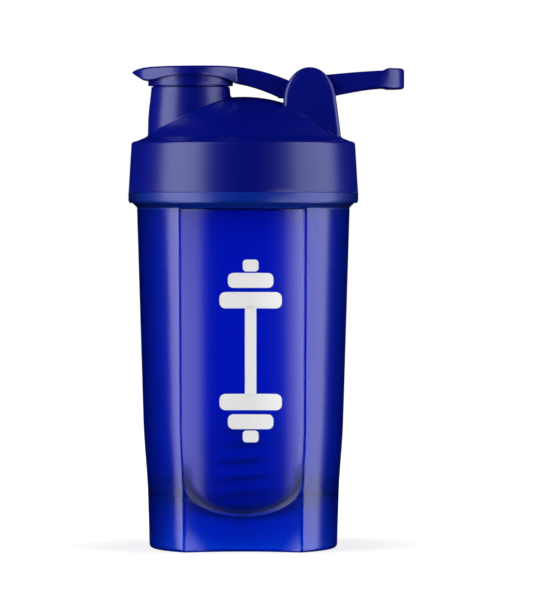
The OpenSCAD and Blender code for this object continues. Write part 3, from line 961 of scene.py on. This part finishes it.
def finger_loop():
    """U-shaped loop swept from one eye round to the other, every edge rounded."""
    eye_mid = (EAR_GAP / 2 - 0.3 + LEVER_HALF + 0.3) / 2
    eye_half = (EAR_GAP / 2 - 0.6 - LEVER_HALF) / 2
    arm_half = 2.2
    end_half = LOOP_BAR / 2
    arm_mid = LOOP_R - arm_half
    start_x = HINGE_X - EYE_R
    turn_x = LOOP_END_X - LOOP_R
    tail = start_x + EYE_R * (1 - np.cos(np.linspace(0.05, math.pi / 2, 14)))
    straight = np.linspace(HINGE_X, turn_x, 44)[1:]
    arm_x = np.concatenate([tail, straight])
    widen = ease(arm_x, HINGE_X + 11.5, HINGE_X + 31)
    arm = np.stack([arm_x, -(eye_mid + (arm_mid - eye_mid) * widen)], 1)
    half = eye_half + (arm_half - eye_half) * widen
    bend = np.radians(np.linspace(-90, 90, 49))[1:-1]
    deep = ease(np.abs(bend), math.pi / 2, 0.5)
    bend_half = arm_half + (end_half - arm_half) * deep
    square = 2 / 2.7                                   # a little squarer than a half circle
    curve = np.stack([turn_x + (LOOP_R - bend_half) * np.cos(bend) ** square,
                      (LOOP_R - bend_half) * np.sign(bend) * np.abs(np.sin(bend)) ** square], 1)
    line = np.concatenate([arm, curve, (arm * [1, -1])[::-1]])
    half = np.concatenate([half, bend_half, half[::-1]])
    along = np.gradient(line, axis=0)
    along /= np.linalg.norm(along, axis=1)[:, None]
    side = np.stack([along[:, 1], -along[:, 0]], 1)
    rings = []
    for middle, out, h in zip(line, side, half):
        corner = min(1.25, h * 0.6)
        low, high = loop_edges(middle[0])
        tall = (high - low) / 2
        corner_z = min(corner, tall * 0.9)
        ring = []
        for across, up, start in ((1, 1, 0), (-1, 1, 90), (-1, -1, 180), (1, -1, 270)):
            for a in np.radians(np.linspace(start, start + 90, 6)):
                plan = middle + out * ((h - corner) * across + corner * math.cos(a))
                edge_low, edge_high = loop_edges(plan[0])
                z = edge_high - corner_z if up > 0 else edge_low + corner_z
                ring.append((plan[0], plan[1], z + corner_z * math.sin(a)))
        rings.append(ring)
    return cut(skin("finger_loop", rings, sharp_over=50), hinge_bore("bore", PIN_R + 0.05, 14))


# ---------------------------------------------------------------- whisk ball

def whisk_wire(finish):
    """Wire wound from pole to pole of a ball. The nodes bend a straight line of points into the
    winding and give it the wire's thickness."""
    tree = bpy.data.node_groups.new("whisk_winding", "GeometryNodeTree")
    tree.interface.new_socket("Geometry", in_out="OUTPUT", socket_type="NodeSocketGeometry")
    wire_r = 0.95
    sizes = {"Winding Radius": (float(ball_high[0] - ball_low[0]) / 2 - wire_r) * MM,
             "Wire Radius": wire_r * MM, "Turns": 7.0, "Pole Angle": math.radians(22)}
    for label in sizes:
        tree.interface.new_socket(label, in_out="INPUT", socket_type="NodeSocketFloat")
    winding = Wiring(tree)
    add = winding.add
    radius, wire_radius, turns, pole = [add("NodeGroupInput", output=label) for label in sizes]

    points = 900
    line = add("GeometryNodeCurvePrimitiveLine")
    line = add("GeometryNodeResampleCurve", inputs={"Curve": line, "Count": points})
    part = add("GeometryNodeInputIndex") * (1 / (points - 1))
    polar = pole + part * (math.pi - 2 * pole)
    angle = part * turns * (2 * math.pi)
    flat = polar.sine() * radius
    spot = add("ShaderNodeCombineXYZ", inputs={
        "X": flat * angle.cosine(), "Y": flat * angle.sine(), "Z": polar.cosine() * radius * -1.0})
    wound = add("GeometryNodeSetPosition", inputs={"Geometry": line, "Position": spot})
    section = add("GeometryNodeCurvePrimitiveCircle", inputs={"Resolution": 12, "Radius": wire_radius})
    wire = add("GeometryNodeCurveToMesh",
               inputs={"Curve": wound, "Profile Curve": section, "Fill Caps": True})
    wire = add("GeometryNodeSetShadeSmooth", inputs={0: wire, "Shade Smooth": True})
    wire = add("GeometryNodeRealizeInstances", inputs={0: wire})
    wire = add("GeometryNodeSetMaterial", inputs={"Geometry": wire, "Material": finish})
    winding.end("NodeGroupOutput", wire)
    piece = new_object("whisk_wire", bpy.data.meshes.new("whisk_wire"))
    maker = piece.modifiers.new("winding", "NODES")
    maker.node_group = tree
    for item in tree.interface.items_tree:
        if item.in_out == "INPUT":
            maker[item.identifier] = sizes[item.name]
    settle(piece)
    piece.data.transform(Matrix.Translation(Vector((ball_low + ball_high) / 2) * MM))
    smooth(piece.data, 60)
    return piece


# ---------------------------------------------------------------- stage

def studio():
    """Camera, pale floor, a tall softbox and a low card on each side, and a white world that the
    plastic sees only low down behind the bottle."""
    scene = bpy.context.scene
    scene.view_settings.view_transform = "Standard"
    camera = bpy.data.objects.new("camera", bpy.data.cameras.new("camera"))
    scene.collection.objects.link(camera)
    camera.data.lens = 267.6
    camera.data.sensor_width = 36
    camera.location = (0.0095, -1.829, 0.1445)
    aim = Vector((0.0095, 0, 0.1015))
    camera.rotation_mode = "QUATERNION"
    camera.rotation_quaternion = (aim - camera.location).to_track_quat("-Z", "Y")
    camera.data.clip_end = 50
    scene.camera = camera

    floor_mesh = bpy.data.meshes.new("floor")
    reach = 12.0
    corners = [(-reach, -reach, 0), (reach, -reach, 0), (reach, reach, 0), (-reach, reach, 0)]
    floor_mesh.from_pydata(corners, [], [(0, 1, 2, 3)])
    floor = new_object("floor", floor_mesh)
    f = Finish("floor_paper")
    tone = f.mix(f.grain(40, 2.0), (0.36, 0.36, 0.36, 1), (0.38, 0.38, 0.38, 1))
    away = f.add("ShaderNodeVectorMath", {"operation": "LENGTH"}, {0: f.place()}, output=1)
    # painted light and shade: the floor glows white, and glows less close to the bottle's foot, so the real
    # shadow there reads grey
    floor_glow_with_painted_shade = f.mix(away.between(0.042, 0.12), (0.72, 0.72, 0.72, 1), (1, 1, 1, 1))
    floor.data.materials.append(f.plastic(base_color=tone, roughness=1.0, specular_ior_level=0.0,
                                          emission_color=floor_glow_with_painted_shade, emission_strength=1.0))
    # the paper takes a shadow, and is not seen in or through the plastic
    floor.visible_diffuse = floor.visible_glossy = floor.visible_transmission = False

    def softbox(name, azimuth, width, middle_z, height, radiance):
        """Upright light a metre away, at an angle from the camera's side."""
        light = bpy.data.lights.new(name, "AREA")
        light.shape = "RECTANGLE"
        light.size, light.size_y = width, height
        light.energy = radiance * math.pi * width * height
        lamp = bpy.data.objects.new(name, light)
        a = math.radians(azimuth)
        lamp.location = (math.sin(a), -math.cos(a), middle_z)
        aim_at = Vector((0, 0, middle_z))
        lamp.rotation_mode = "QUATERNION"
        lamp.rotation_quaternion = (aim_at - lamp.location).to_track_quat("-Z", "Y")
        scene.collection.objects.link(lamp)

    softbox("left_softbox", -64, 0.85, 0.15, 2.2, 4.9)
    softbox("right_softbox", 77, 1.0, 0.15, 2.2, 3.5)
    softbox("low_left_card", -39, 0.21, -0.4, 1.0, 3.2)
    softbox("low_right_card", 41, 0.36, -0.4, 1.0, 4.0)

    world = bpy.data.worlds.new("studio")
    scene.world = world
    world.use_nodes = True
    sky = Wiring(world.node_tree)
    place = sky.add("ShaderNodeTexCoord", output="Generated")
    behind, above = [sky.add("ShaderNodeSeparateXYZ", inputs={0: place}, output=axis) for axis in "YZ"]
    fading = sky.add("ShaderNodeMapRange", inputs={
        "Value": above, "From Min": 0.30, "From Max": 0.55, "To Min": 1.0, "To Max": 0.0})
    wall = (0.01 + 0.99 * behind.between(0.45, 0.85)) * fading
    transmitted, scattered, direct = [
        sky.add("ShaderNodeLightPath", output=f"Is {kind} Ray")
        for kind in ("Transmission", "Diffuse", "Camera")]
    strength = (wall * transmitted.at_least(scattered)).at_least(direct)
    light = sky.add("ShaderNodeBackground", inputs={"Color": (1, 1, 1, 1), "Strength": strength})
    sky.end("ShaderNodeOutputWorld", light)


# ---------------------------------------------------------------- assembly

studio()
lid_blue, grey_silicone = lid_plastic(), silicone()
bottle_blue = [bottle_plastic("bottle_plastic", 0.19), bottle_plastic("bottle_plastic_inside", 0.54),
               bottle_plastic("bottle_plastic_flange", 0.30, 0.35, 0.55)]
pin_steel, ball_steel = drawn_steel(), wire_steel()

fit(shaker_bottle(), "bottle", bottle_blue, "bottle_body", slot="bottle_plastic")
fit(training_mark(), "bottle", [white_ink()], slot="bottle_plastic")
fit(screw_lid(), "lid", [lid_blue], "lid_shell", slot="lid_plastic")
fit(seal_ring(), "seal", [grey_silicone], "lid_seal", slot="silicone")
fit(spout_cap(), "cap", [lid_blue], "flip_cap", slot="lid_plastic")
fit(cap_plug(), "cap", [grey_silicone], "spout_plug", slot="silicone")
fit(hinge_rod(), "lid", [pin_steel], "hinge_pin", slot="pin_steel")
fit(finger_loop(), "loop", [lid_blue], "carry_loop", slot="lid_plastic")
fit(whisk_wire(ball_steel), "ball", [ball_steel], "whisk_ball", slot="wire_steel")
